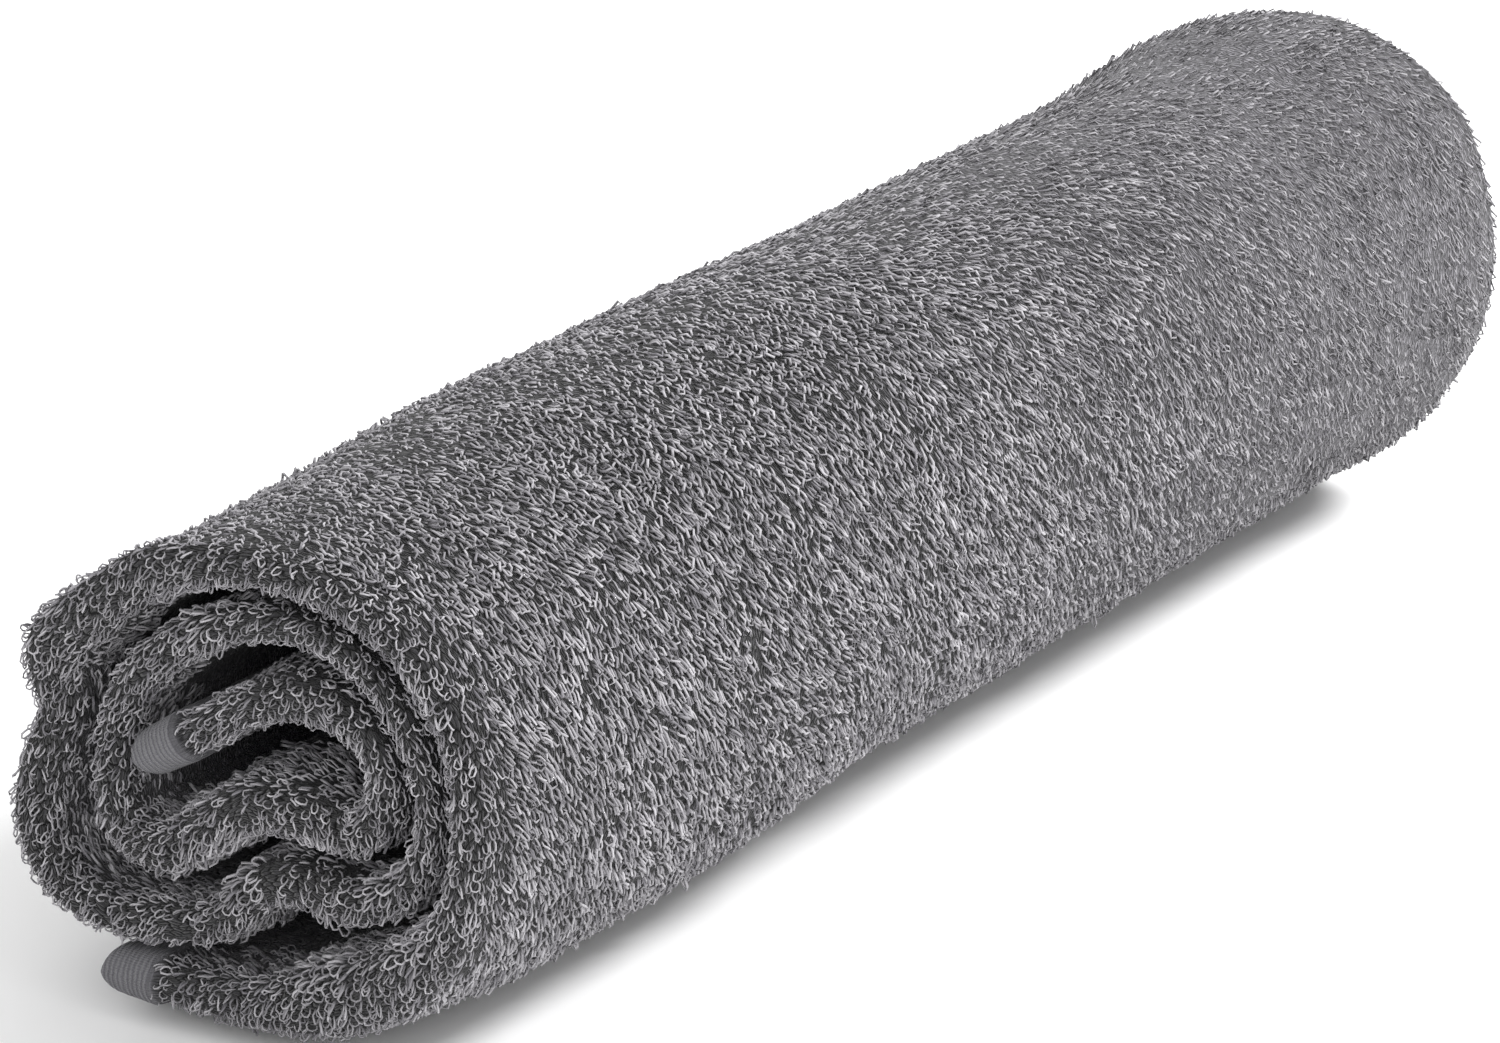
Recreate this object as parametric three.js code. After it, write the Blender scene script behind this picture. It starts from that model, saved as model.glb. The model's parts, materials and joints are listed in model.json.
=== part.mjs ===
// A bath towel of terry cloth, folded into a long band and wound into a loose roll that lies on its side.
// Millimetres, +Z up. The roll's axis lies along X, and the end whose turns stand most open faces -X.
// The origin is under the middle of the roll, on the surface that it lies on.
import * as THREE from "three";

// Driving dimensions: the roll's whole length, the place of its axis, and how finely the cloth is stepped.
const rollLength = 365;
const axisHeight = 48.5;
const axisAcross = -0.8;
const stepAlongCloth = 6;
const foldAngles = [-60, -30, 0, 30, 60];
const hemAngles = [25, 50, 70, 84];

// The wound band at its open end, from the hem outside to the hem inside. A row is one bend of the cloth.
// across: from the axis towards +Y. up: above the surface. half: half the thickness of the band.
// near, far: how far the folded edge stands back there from the -X and the +X end of the roll.
const outerTurn = [
  { across: 26.4, up: 9.6, half: 4.8, near: 1, far: 4 },
  { across: 13, up: 8.8, half: 5.6, near: 1, far: 4 },
  { across: 0, up: 9.4, half: 6.2, near: 1, far: 4 },
  { across: -13, up: 13.2, half: 8.3, near: 1, far: 3 },
  { across: -26.6, up: 19.6, half: 8, near: 1, far: 3 },
  { across: -38.2, up: 29.4, half: 5.9, near: 1, far: 3 },
  { across: -45.1, up: 46, half: 5.3, near: 1, far: 2 },
  { across: -43.8, up: 64.2, half: 5, near: 2, far: 1 },
  { across: -34.6, up: 80.4, half: 5, near: 2, far: 0 },
  { across: -18, up: 89.7, half: 4.6, near: 1, far: 0 },
  { across: 0, up: 91.1, half: 5.1, near: 1, far: 0 },
  { across: 17.2, up: 86, half: 5.7, near: 0, far: 0 },
  { across: 32.1, up: 75.4, half: 6.3, near: 0, far: 1 },
  { across: 42.1, up: 65, half: 7.2, near: 0, far: 2 },
  { across: 41.9, up: 54.5, half: 5.7, near: 2, far: 3 },
  { across: 44.8, up: 45, half: 5.9, near: 1, far: 4 },
];
const middleTurn = [
  { across: 46.4, up: 34.6, half: 5.9, near: 0, far: 5 },
  { across: 41.4, up: 23.8, half: 6, near: 0, far: 6 },
  { across: 30.4, up: 20, half: 5, near: 0, far: 7 },
  { across: 18, up: 20.8, half: 5.3, near: 1, far: 8 },
  { across: 8, up: 23.6, half: 5.4, near: 2, far: 9 },
  { across: 0.5, up: 30.8, half: 5.4, near: 3, far: 9 },
  { across: -8, up: 33.4, half: 6, near: 3, far: 9 },
  { across: -18, up: 32.2, half: 5.6, near: 3, far: 9 },
  { across: -28.9, up: 36.9, half: 4.5, near: 4, far: 8 },
  { across: -35.2, up: 48, half: 3.9, near: 4, far: 7 },
  { across: -33.6, up: 62.6, half: 3.8, near: 4, far: 6 },
  { across: -25.4, up: 74.2, half: 4.2, near: 4, far: 5 },
  { across: -12, up: 80.4, half: 4.4, near: 4, far: 5 },
  { across: 3, up: 79, half: 4.9, near: 4, far: 6 },
  { across: 17.2, up: 71.8, half: 5.3, near: 3, far: 7 },
  { across: 28.2, up: 60.4, half: 4.9, near: 3, far: 8 },
];
const innerTurn = [
  { across: 30.9, up: 47, half: 5.1, near: 2, far: 9 },
  { across: 28.3, up: 36.6, half: 6.1, near: 1, far: 10 },
  { across: 19, up: 34.6, half: 6.3, near: 0, far: 11 },
  { across: 9.8, up: 40.8, half: 6.1, near: 0, far: 12 },
  { across: 1, up: 46.6, half: 6.5, near: 0, far: 12 },
  { across: -10, up: 47.1, half: 6.4, near: 1, far: 12 },
  { across: -20.6, up: 46, half: 5.6, near: 3, far: 12 },
  { across: -25.8, up: 54, half: 4.3, near: 4, far: 12 },
  { across: -23, up: 63.4, half: 4.5, near: 4, far: 11 },
  { across: -12, up: 68, half: 5.8, near: 3, far: 11 },
  { across: 0, up: 65.5, half: 5.4, near: 2, far: 12 },
  { across: 10, up: 59.1, half: 4.9, near: 1, far: 13 },
  { across: 19.2, up: 53.3, half: 4.3, near: 1, far: 14 },
];

// The roll is uneven along its length. A row gives how far each side stands out past the turns above: its
// front, under, behind and top, with low between front and under, and high between behind and top.
// at: the share of the length from the -X end.
const fullness = [
  { at: 0, front: 0, low: 1, under: 0, behind: 2.5, high: 4, top: 0.5 },
  { at: 0.05, front: 1, low: 2, under: 4, behind: 1, high: 0.5, top: 1 },
  { at: 0.12, front: 1.5, low: 4.5, under: 5.5, behind: 0.5, high: 1, top: 1.5 },
  { at: 0.28, front: 2, low: 4.5, under: 5.6, behind: 1, high: 3.4, top: 3 },
  { at: 0.42, front: 0.5, low: 0.5, under: 5.5, behind: 0.5, high: 2.7, top: 2 },
  { at: 0.6, front: -1.5, low: 0, under: 5.2, behind: -0.5, high: 1.1, top: 0.5 },
  { at: 0.88, front: -1.5, low: -0.3, under: 5.2, behind: -1, high: 0.5, top: 0 },
  { at: 0.94, front: -0.5, low: 0.5, under: 5.2, behind: 1.5, high: 3.5, top: 3 },
  { at: 1, front: -3, low: -2, under: 2, behind: -1, high: 3, top: 1.5 },
];
const sideAngles = { front: 180, low: 235, under: 270, behind: 360, high: 415, top: 450 };
const fullRadius = 48;
const lengthShares = [0, 0.02, 0.05, 0.09, 0.15, 0.22, 0.3, 0.38, 0.46, 0.54, 0.63, 0.72, 0.8, 0.87, 0.92, 0.96, 1];

// A column of a table read smoothly between its rows.
function readTable(rows, column, share) {
  const next = rows.findIndex((row) => row.at >= share);
  const i = next < 0 ? rows.length - 1 : Math.max(next, 1);
  const [from, to] = [rows[i - 1], rows[i]];
  const t = THREE.MathUtils.smoothstep(share, from.at, to.at);
  return THREE.MathUtils.lerp(from[column], to[column], t);
}

// How far the roll stands out at a share of its length, in the direction of an angle about its axis.
function standOut(share, angle) {
  const turned = angle < sideAngles.front ? angle + 360 : angle;
  const sides = Object.entries(sideAngles).map(([side, at]) => ({ at, mm: readTable(fullness, side, share) }));
  const first = { at: sides[0].at + 360, mm: sides[0].mm };
  return readTable([...sides, first], "mm", turned);
}

// The wound cloth moved from its place at the open end to its place along the roll: each point is pushed
// out from the axis by the fullness there, the outer turns most, and nothing passes below the surface.
function placeAlong(x, across, up) {
  const share = THREE.MathUtils.clamp(x / rollLength + 0.5, 0, 1);
  const rise = up - axisHeight;
  const angle = THREE.MathUtils.euclideanModulo(THREE.MathUtils.radToDeg(Math.atan2(rise, across)), 360);
  const radius = Math.hypot(across, rise);
  const scale = 1 + (standOut(share, angle) * radius) / fullRadius ** 2;
  return new THREE.Vector3(x, axisAcross + across * scale, Math.max(axisHeight + rise * scale, 0));
}

// The band's centre line as evenly spaced bends, each with its direction across the cloth.
function bendsOf(rows) {
  const line = new THREE.CatmullRomCurve3(rows.map((row) => new THREE.Vector3(row.across, row.up, 0)));
  const count = Math.round(line.getLength() / stepAlongCloth);
  return Array.from({ length: count + 1 }, (_, i) => {
    const share = line.getUtoTmapping(i / count);
    const at = share * (rows.length - 1);
    const k = Math.min(Math.floor(at), rows.length - 2);
    const mix = (column) => THREE.MathUtils.lerp(rows[k][column], rows[k + 1][column], at - k);
    const along = line.getTangent(share);
    const [half, near, far] = [mix("half"), mix("near"), mix("far")];
    return { point: line.getPoint(share), along, half, near, far };
  });
}

// Rounds a hem: the band's last bend carried on along the cloth, growing thinner to its edge.
function hemBends(bend, way) {
  return hemAngles.map((degrees) => {
    const angle = THREE.MathUtils.degToRad(degrees);
    const reach = way * bend.half * Math.sin(angle);
    const point = bend.point.clone().addScaledVector(bend.along, reach);
    return { ...bend, point, half: bend.half * Math.cos(angle) };
  });
}

// One section of the band: along its outer face, round the far fold, back and round the near fold.
function sectionOf(bend) {
  const { point, along, half, near, far } = bend;
  const nearEdge = -rollLength / 2 + near;
  const farEdge = rollLength / 2 - far;
  const flatStart = nearEdge + half;
  const flatEnd = farEdge - half;
  const face = lengthShares.map((share) => ({ x: THREE.MathUtils.lerp(flatStart, flatEnd, share), out: half }));
  const fold = (edge, way) =>
    foldAngles.map((degrees) => {
      const angle = THREE.MathUtils.degToRad(degrees);
      return { x: edge + way * half * Math.cos(angle), out: -way * half * Math.sin(angle) };
    });
  const back = face.map(({ x, out }) => ({ x, out: -out })).reverse();
  const profile = [...face, ...fold(flatEnd, 1), ...back, ...fold(flatStart, -1)];
  return profile.map(({ x, out }) => placeAlong(x, point.x - along.y * out, point.y + along.x * out));
}

// Joins the sections into one closed surface. Each hem's edge is closed by a strip between its two faces.
function windBand(rows) {
  const bends = bendsOf(rows);
  const first = bends[0];
  const last = bends[bends.length - 1];
  const sections = [...hemBends(first, -1).reverse(), ...bends, ...hemBends(last, 1)].map(sectionOf);
  const round = sections[0].length;
  const index = [];
  const addTriangle = (...corners) => {
    if (new Set(corners).size === corners.length) index.push(...corners);
  };
  for (let i = 0; i < sections.length - 1; i += 1) {
    for (let j = 0; j < round; j += 1) {
      const a = i * round + j;
      const b = i * round + ((j + 1) % round);
      addTriangle(a, b, a + round);
      addTriangle(b, b + round, a + round);
    }
  }
  const lastSection = (sections.length - 1) * round;
  const foldMiddle = (foldAngles.length + 1) / 2;
  const acrossFrom = 2 * lengthShares.length + foldAngles.length - 1;
  const pairs = [];
  for (let j = -foldMiddle; j < lengthShares.length + foldMiddle; j += 1) {
    pairs.push([(j + round) % round, (acrossFrom - j) % round]);
  }
  for (let k = 0; k < pairs.length - 1; k += 1) {
    const [a, b] = pairs[k];
    const [c, d] = pairs[k + 1];
    addTriangle(a, b, d);
    addTriangle(a, d, c);
    addTriangle(lastSection + a, lastSection + d, lastSection + b);
    addTriangle(lastSection + a, lastSection + c, lastSection + d);
  }
  const geometry = new THREE.BufferGeometry().setFromPoints(sections.flat());
  geometry.setIndex(index);
  return geometry;
}

const terry = new THREE.MeshStandardMaterial({ color: 0x737275, roughness: 1, metalness: 0 });
const towel = new THREE.Mesh(windBand([...outerTurn, ...middleTurn, ...innerTurn]), terry);
towel.name = "towel_roll";

const part = new THREE.Group();
part.add(towel);

export default part;
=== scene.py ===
# A grey terry bath towel, folded lengthways and wound into a loose roll. Its ground cloth follows the packed
# solid a pile's height inside it, and loops of yarn stand on that cloth up to about the solid's face.
# Sizes are in millimetres until a mesh is made. The roll's axis lies along X and its open end faces -X.
import json
import math

import bpy
import numpy as np
from mathutils import Matrix, Vector, kdtree, noise
from mathutils.bvhtree import BVHTree

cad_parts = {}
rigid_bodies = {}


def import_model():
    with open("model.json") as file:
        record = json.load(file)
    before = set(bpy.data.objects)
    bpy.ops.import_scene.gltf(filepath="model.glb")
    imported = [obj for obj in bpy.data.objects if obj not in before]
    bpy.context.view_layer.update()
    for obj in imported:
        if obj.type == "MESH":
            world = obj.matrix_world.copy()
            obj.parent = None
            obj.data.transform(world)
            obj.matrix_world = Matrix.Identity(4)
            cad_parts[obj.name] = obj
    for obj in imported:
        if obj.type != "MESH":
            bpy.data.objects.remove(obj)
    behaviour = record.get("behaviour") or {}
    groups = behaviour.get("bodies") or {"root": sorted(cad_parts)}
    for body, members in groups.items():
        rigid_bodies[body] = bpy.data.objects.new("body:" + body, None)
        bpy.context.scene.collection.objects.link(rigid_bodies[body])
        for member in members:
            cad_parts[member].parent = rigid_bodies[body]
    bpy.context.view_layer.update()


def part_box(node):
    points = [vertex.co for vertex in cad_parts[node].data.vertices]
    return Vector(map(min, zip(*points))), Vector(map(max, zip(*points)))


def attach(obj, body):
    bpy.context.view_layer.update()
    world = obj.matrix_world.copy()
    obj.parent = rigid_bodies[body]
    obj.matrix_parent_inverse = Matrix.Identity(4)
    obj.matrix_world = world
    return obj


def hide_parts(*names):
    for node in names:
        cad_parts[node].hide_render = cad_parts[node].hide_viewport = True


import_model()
mm = 0.001


# Small tools

def hexColor(text):  # an sRGB hex colour as linear RGBA
    parts = [int(text[i : i + 2], 16) / 255 for i in (1, 3, 5)]
    return (*[c / 12.92 if c <= 0.04045 else ((c + 0.055) / 1.055) ** 2.4 for c in parts], 1.0)


def addNode(tree, kind, settings=None, inputs=None):  # a node with its settings, values and links
    node = tree.nodes.new(kind)
    for name, value in (settings or {}).items():
        setattr(node, name, value)
    for name, value in (inputs or {}).items():
        if isinstance(value, bpy.types.NodeSocket):
            tree.links.new(value, node.inputs[name])
        else:
            node.inputs[name].default_value = value
    return node


def smoothStep(value, low, high):
    t = np.clip((value - low) / (high - low), 0, 1)
    return t * t * (3 - 2 * t)


def unit(vectors):
    return vectors / np.maximum(np.linalg.norm(vectors, axis=-1, keepdims=True), 1e-9)


def softNoise(points, size, seed):  # smooth noise from about -1 to 1 over points in mm
    shift = Vector((seed * 17.3, seed * 5.1, seed * 29.7))
    return np.array([noise.noise(Vector(p) / size + shift) for p in points])


def newPiece(name, mesh):
    piece = bpy.data.objects.new(name, mesh)
    bpy.context.scene.collection.objects.link(piece)
    return piece


def storeValues(mesh, name, values):  # a number or a vector for each point of a mesh
    kind, field = ("FLOAT_VECTOR", "vector") if np.ndim(values) > 1 else ("FLOAT", "value")
    stored = mesh.attributes.new(name, kind, "POINT")
    stored.data.foreach_set(field, values.astype(np.float32).ravel())


# The wound band, in the sizes of the solid

wound = {
    "axisHeight": 48.5,
    "axisAcross": -0.8,
    "fullRadius": 48,
    "curveSteps": 24,  # from one bend to the next
    "lineStep": 0.5,  # spacing of the table that the centre line is read from
    "pileDepth": 1.4,  # height of the pressed pile over the faces of the cloth
    "foldPileDepth": 1.9,  # height of the standing pile round the folded edges
    "foldZone": (6, 16),  # distance from a fold's middle over which the one becomes the other
    "mostDepth": 0.45,  # the most that the pile takes of half the band's thickness
    "hemWidth": 9.5,  # flat-woven end of the towel, without loops
    "hemRamp": 2.5,
    "hemBlunt": 2.9,  # 2 rounds the hem to a half circle, more makes it blunter
    "hemAngles": (6, 87, 8),  # first, last and step of the angles that round it
}
rollLowest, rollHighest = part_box("towel_roll")
rollLength = (rollHighest.x - rollLowest.x) / mm

# A row is one bend of the band: across the axis, up from the surface, half the band's thickness, and how far
# its folded edge stands back from the -X and from the +X end. It runs from the outer hem to the inner one.
bandRows = [
    (26.4, 9.6, 4.8, 1, 4), (13, 8.8, 5.6, 1, 4), (0, 9.4, 6.2, 1, 4), (-13, 13.2, 8.3, 1, 3),
    (-26.6, 19.6, 8, 1, 3), (-38.2, 29.4, 5.9, 1, 3), (-45.1, 46, 5.3, 1, 2), (-43.8, 64.2, 5, 2, 1),
    (-34.6, 80.4, 5, 2, 0), (-18, 89.7, 4.6, 1, 0), (0, 91.1, 5.1, 1, 0), (17.2, 86, 5.7, 0, 0),
    (32.1, 75.4, 6.3, 0, 1), (42.1, 65, 7.2, 0, 2), (41.9, 54.5, 5.7, 2, 3), (44.8, 45, 5.9, 1, 4),
    (46.4, 34.6, 5.9, 0, 5), (41.4, 23.8, 6, 0, 6), (30.4, 20, 5, 0, 7), (18, 20.8, 5.3, 1, 8),
    (8, 23.6, 5.4, 2, 9), (0.5, 30.8, 5.4, 3, 9), (-8, 33.4, 6, 3, 9), (-18, 32.2, 5.6, 3, 9),
    (-28.9, 36.9, 4.5, 4, 8), (-35.2, 48, 3.9, 4, 7), (-33.6, 62.6, 3.8, 4, 6), (-25.4, 74.2, 4.2, 4, 5),
    (-12, 80.4, 4.4, 4, 5), (3, 79, 4.9, 4, 6), (17.2, 71.8, 5.3, 3, 7), (28.2, 60.4, 4.9, 3, 8),
    (30.9, 47, 5.1, 2, 9), (28.3, 36.6, 6.1, 1, 10), (19, 34.6, 6.3, 0, 11), (9.8, 40.8, 6.1, 0, 12),
    (1, 46.6, 6.5, 0, 12), (-10, 47.1, 6.4, 1, 12), (-20.6, 46, 5.6, 3, 12), (-25.8, 54, 4.3, 4, 12),
    (-23, 63.4, 4.5, 4, 11), (-12, 68, 5.8, 3, 11), (0, 65.5, 5.4, 2, 12), (10, 59.1, 4.9, 1, 13),
    (19.2, 53.3, 4.3, 1, 14),
]
coveredFrom = 17  # the row at which the band's outer face passes under the outer hem

# How far each side stands out past the turns, at shares of the length: a side's angle about the axis, then
# millimetres.
fullShares = np.array([0, 0.05, 0.12, 0.28, 0.42, 0.6, 0.88, 0.94, 1])
fullSides = {
    180: (0, 1, 1.5, 2, 0.5, -1.5, -1.5, -0.5, -3),  # front
    235: (1, 2, 4.5, 4.5, 0.5, 0, -0.3, 0.5, -2),  # between front and under
    270: (0, 4, 5.5, 5.6, 5.5, 5.2, 5.2, 5.2, 2),  # under
    360: (2.5, 1, 0.5, 1, 0.5, -0.5, -1, 1.5, -1),  # behind
    415: (4, 0.5, 1, 3.4, 2.7, 1.1, 0.5, 3.5, 3),  # between behind and top
    450: (0.5, 1, 1.5, 3, 2, 0.5, 0, 3, 1.5),  # top
    540: (0, 1, 1.5, 2, 0.5, -1.5, -1.5, -0.5, -3),  # front again
}


def readRows(places, values, at):  # values given at places, read smoothly at any place
    i = np.clip(np.searchsorted(places, at), 1, len(places) - 1)
    t = smoothStep(at, places[i - 1], places[i])
    return values[i - 1] * (1 - t) + values[i] * t


def standOut(share, angle):
    turned = np.where(angle < 180, angle + 360, angle)
    angles = np.array(list(fullSides))
    each = np.stack([readRows(fullShares, np.array(side, float), share) for side in fullSides.values()])
    i = np.clip(np.searchsorted(angles, turned), 1, len(angles) - 1)
    t = smoothStep(turned, angles[i - 1], angles[i])
    k = np.arange(len(turned))
    return each[i - 1, k] * (1 - t) + each[i, k] * t


def placeAlong(x, across, up):  # the open end's section carried along the roll, never below the surface
    rise = up - wound["axisHeight"]
    angle = np.degrees(np.arctan2(rise, across)) % 360
    out = standOut(np.clip(x / rollLength + 0.5, 0, 1), angle)
    scale = 1 + out * np.hypot(across, rise) / wound["fullRadius"] ** 2
    up = np.maximum(wound["axisHeight"] + rise * scale, 0)
    return np.stack([x, wound["axisAcross"] + across * scale, up], axis=-1)


def centreLine():  # a table of the band's centre line against the distance along it, hems included
    rows = np.array(bandRows, float)
    points = rows[:, :2]
    padded = np.vstack([2 * points[0] - points[1], points, 2 * points[-1] - points[-2]])
    t = np.linspace(0, 1, wound["curveSteps"], endpoint=False)[:, None]
    line, at = [], []
    for i in range(len(points) - 1):
        a, b, c, d = padded[i : i + 4]
        u, v, w = (np.linalg.norm(q - p) ** 0.5 for p, q in ((a, b), (b, c), (c, d)))
        leave = v * ((b - a) / u - (c - a) / (u + v) + (c - b) / v)
        arrive = v * ((c - b) / v - (d - b) / (v + w) + (d - c) / w)
        cubic = (2 * b - 2 * c + leave + arrive) * t**3 + (3 * c - 3 * b - 2 * leave - arrive) * t**2
        line.append(cubic + leave * t + b)
        at.append(i + t[:, 0])
    line, at = np.vstack([*line, points[-1:]]), np.append(np.concatenate(at), len(points) - 1)
    run = np.append(0, np.cumsum(np.linalg.norm(np.diff(line, axis=0), axis=1)))
    s = np.linspace(0, run[-1], round(run[-1] / wound["lineStep"]) + 1)
    across, up = (np.interp(s, run, line[:, k]) for k in (0, 1))
    along = unit(np.stack([np.gradient(across, s), np.gradient(up, s)], axis=-1))
    whole = np.interp(s, run, at)
    sizes = [np.interp(whole, np.arange(len(rows)), rows[:, k]) for k in (2, 3, 4)]
    table = np.column_stack([s, across, up, along, *sizes])
    hems = []
    for end, way in ((table[0], -1), (table[-1], 1)):  # the hem is rounded: the band thins to its edge
        angles = np.radians(np.arange(*wound["hemAngles"]))
        hem = np.repeat(end[None], len(angles), axis=0)
        reach = way * end[5] * np.sin(angles)
        hem[:, 0] += reach
        hem[:, 1:3] += reach[:, None] * end[3:5]
        hem[:, 5] = end[5] * (1 - np.sin(angles) ** wound["hemBlunt"]) ** (1 / wound["hemBlunt"])
        hems.append(hem[::way])
    covered = np.interp(coveredFrom, whole, s)
    return np.vstack([hems[0], table, hems[1]]), covered


lineTable, coveredAt = centreLine()
hemStart, hemEnd = lineTable[0, 0], lineTable[-1, 0]


def readLine(s):
    return [np.interp(s, lineTable[:, 0], lineTable[:, k]) for k in range(1, 8)]


def flatWoven(s):  # 1 on the towel's woven ends, 0 where loops stand
    nearest = np.minimum(s - hemStart, hemEnd - s)
    return 1 - smoothStep(nearest, wound["hemWidth"], wound["hemWidth"] + wound["hemRamp"])


def lengths(s, inset):  # the flat part of a section, and the reach of its quarter fold
    half, near, far = readLine(s)[4:]
    flat = rollLength - near - far - 2 * half
    return flat, math.pi / 2 * (half - np.minimum(inset, wound["mostDepth"] * half))


def pileDepth(s, v):  # how far the ground cloth lies inside the solid, v mm round the section
    flat, quarter = lengths(s, wound["pileDepth"])
    fromFold = np.minimum(np.abs(v), flat + 2 * quarter - np.abs(v))
    standing = 1 - smoothStep(fromFold, *wound["foldZone"])
    depth = wound["pileDepth"] + (wound["foldPileDepth"] - wound["pileDepth"]) * standing
    return depth * (1 - flatWoven(s))


def skin(s, v, inset):  # the band's skin: v runs round the section from the near fold, + over the outer face
    across, up, alongY, alongZ, half, near, far = readLine(s)
    radius = half - np.minimum(inset, wound["mostDepth"] * half)
    flatStart = -rollLength / 2 + near + half
    flatEnd = rollLength / 2 - far - half
    quarter = math.pi / 2 * radius
    run = np.abs(v)
    left = 2 * quarter + flatEnd - flatStart - run
    nearTurn, farTurn = run / np.maximum(radius, 1e-6), left / np.maximum(radius, 1e-6)
    x = np.where(run < quarter, flatStart - radius * np.cos(nearTurn), flatStart + run - quarter)
    x = np.where(left < quarter, flatEnd + radius * np.cos(farTurn), x)
    out = np.where(run < quarter, radius * np.sin(nearTurn), radius)
    out = np.where(left < quarter, radius * np.sin(farTurn), out) * np.where(v < 0, -1, 1)
    return placeAlong(x, across - alongZ * out, up + alongY * out)


def skinFrame(s, v, inset):  # point, outward normal, direction along the band and direction round the section
    step = 0.4
    point = skin(s, v, inset)
    along = unit(skin(s + step, v, inset) - skin(s - step, v, inset))
    around = unit(skin(s, v + step, inset) - skin(s, v - step, inset))
    normal = unit(np.cross(around, along))
    return point, normal, along, around


# Where the shade painted into the pile's colour is eased: roots and ground lighter, loop tips darker
shadeEasingZones = {
    "along": (-50, 125),  # where along the roll the painted shade goes from full to eased
    "behind": 0.8,  # how far it is eased behind
    "topAngles": (25, 60),  # about the axis, where the back ends above and where it begins below
    "underAngles": (225, 260),
    "nearFold": (-178, -168),  # the open end's fold, where the painted shade is full
    "farFold": (166, 176),
    "farFoldLess": 0.3,
}


def paintedShadeEasing(points):  # how far the painted shade is eased: 0 at the open end, more behind and towards the far end
    x, y, z = points.T
    angle = np.degrees(np.arctan2(z - wound["axisHeight"], y - wound["axisAcross"])) % 360
    behind = 1 - smoothStep(angle, *shadeEasingZones["topAngles"]) + smoothStep(angle, *shadeEasingZones["underAngles"])
    most = np.maximum(smoothStep(x, *shadeEasingZones["along"]), shadeEasingZones["behind"] * behind)
    most = most * (1 - shadeEasingZones["farFoldLess"] * smoothStep(x, *shadeEasingZones["farFold"]))
    return most * smoothStep(x, *shadeEasingZones["nearFold"])


# Ground cloth

groundCloth = {
    "step": 2.5,  # spacing of sections along the outer turn, in mm
    "innerStep": 3.6,
    "ribPitch": 1.0,  # the hem's woven ribs
    "ribHeight": 0.05,
    "foldSteps": 9,
    "faceShares": 34,
    "endCrowding": 1.7,  # above 1 the columns crowd towards the two ends
    "relief": 0.35,  # soft unevenness of the faces
    "reliefSize": 16,
    "bandWidth": 0.35,
    "bandLength": 0.60,
}


def sectionPlaces():  # distances along the cloth: fine over the ribbed hems, wider between
    hem = wound["hemWidth"] + wound["hemRamp"]
    fine = groundCloth["ribPitch"] / 3
    tip = lineTable[lineTable[:, 0] < 0, 0]
    first = np.arange(0, hemStart + hem, fine)
    last = (hemEnd - np.arange(0, hem, fine))[::-1]
    last = last[last <= lineTable[lineTable[:, 0] <= hemEnd - 5, 0].max()]
    outer = np.arange(first[-1] + groundCloth["step"], coveredAt, groundCloth["step"])
    inner = np.arange(outer[-1] + groundCloth["innerStep"], last[0] - 1, groundCloth["innerStep"])
    ends = lineTable[lineTable[:, 0] > last[-1] + fine, 0]
    return np.concatenate([tip, first, outer, inner, last, ends])


def makeGroundCloth():
    s = sectionPlaces()
    half, near, far = readLine(s)[4:]
    flat = rollLength - near - far - 2 * half
    foldInset = np.minimum(wound["foldPileDepth"], wound["mostDepth"] * half) * (1 - flatWoven(s))
    quarter = math.pi / 2 * (half - foldInset)
    share = np.linspace(-1, 1, groundCloth["faceShares"])
    share = 0.5 + 0.5 * np.sign(share) * (1 - (1 - np.abs(share)) ** groundCloth["endCrowding"])
    turn = np.linspace(-1, 1, groundCloth["foldSteps"] + 2)[1:-1]
    total = 2 * quarter + flat
    columns = [quarter * t for t in turn]
    columns += [quarter + flat * p for p in share]
    columns += [np.where(t < 0, total + quarter * t, -(total - quarter * t)) for t in turn]
    columns += [-(quarter + flat * p) for p in share[::-1]]
    v = np.stack(columns, axis=1)
    sAll = np.repeat(s[:, None], v.shape[1], axis=1)
    flatS, flatV = sAll.ravel(), v.ravel()
    depth = pileDepth(flatS, flatV)
    points, normals, *_ = skinFrame(flatS, flatV, depth)
    inside = 1 - flatWoven(flatS)
    uneven = groundCloth["relief"] * softNoise(points, groundCloth["reliefSize"], 1) * inside
    points += normals * uneven[:, None]
    fromHem = np.minimum(flatS - hemStart, hemEnd - flatS)
    ribs = np.sin(2 * math.pi * fromHem / groundCloth["ribPitch"]) * groundCloth["ribHeight"]
    ribs *= 1 - smoothStep(fromHem, wound["hemWidth"], wound["hemWidth"] + 1)
    ribs *= smoothStep(fromHem, 1, 2)
    points += normals * ribs[:, None]
    points[:, 2] = np.maximum(points[:, 2], 0)
    count, wide = v.shape
    faces = []
    for i in range(count - 1):
        for j in range(wide):
            a, b = i * wide + j, i * wide + (j + 1) % wide
            faces.append((a, b, b + wide, a + wide))
    middle = (groundCloth["foldSteps"] - 1) // 2
    for base, flip in ((0, 1), ((count - 1) * wide, -1)):  # each hem's edge is closed by a strip
        pairs = [((middle + k) % wide, (middle - k) % wide) for k in range(wide // 2 + 1)]
        for (a, b), (c, d) in zip(pairs, pairs[1:]):
            ring = list(dict.fromkeys((base + a, base + c, base + d, base + b)))
            faces.append(tuple(ring[::flip]))
    mesh = bpy.data.meshes.new("towel_cloth")
    mesh.from_pydata((points * mm).tolist(), [], faces)
    mesh.shade_smooth()
    uv = mesh.uv_layers.new(name="cloth")
    vertex = np.empty(len(mesh.loops), np.int32)
    mesh.loops.foreach_get("vertex_index", vertex)
    places = np.column_stack([flatV, flatS])[vertex] * mm
    uv.data.foreach_set("uv", places.astype(np.float32).ravel())
    storeValues(mesh, "flatWoven", flatWoven(flatS))
    storeValues(mesh, "shadeEasing", paintedShadeEasing(points))
    mesh.validate()
    return newPiece("towel_cloth", mesh), points, faces


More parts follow.
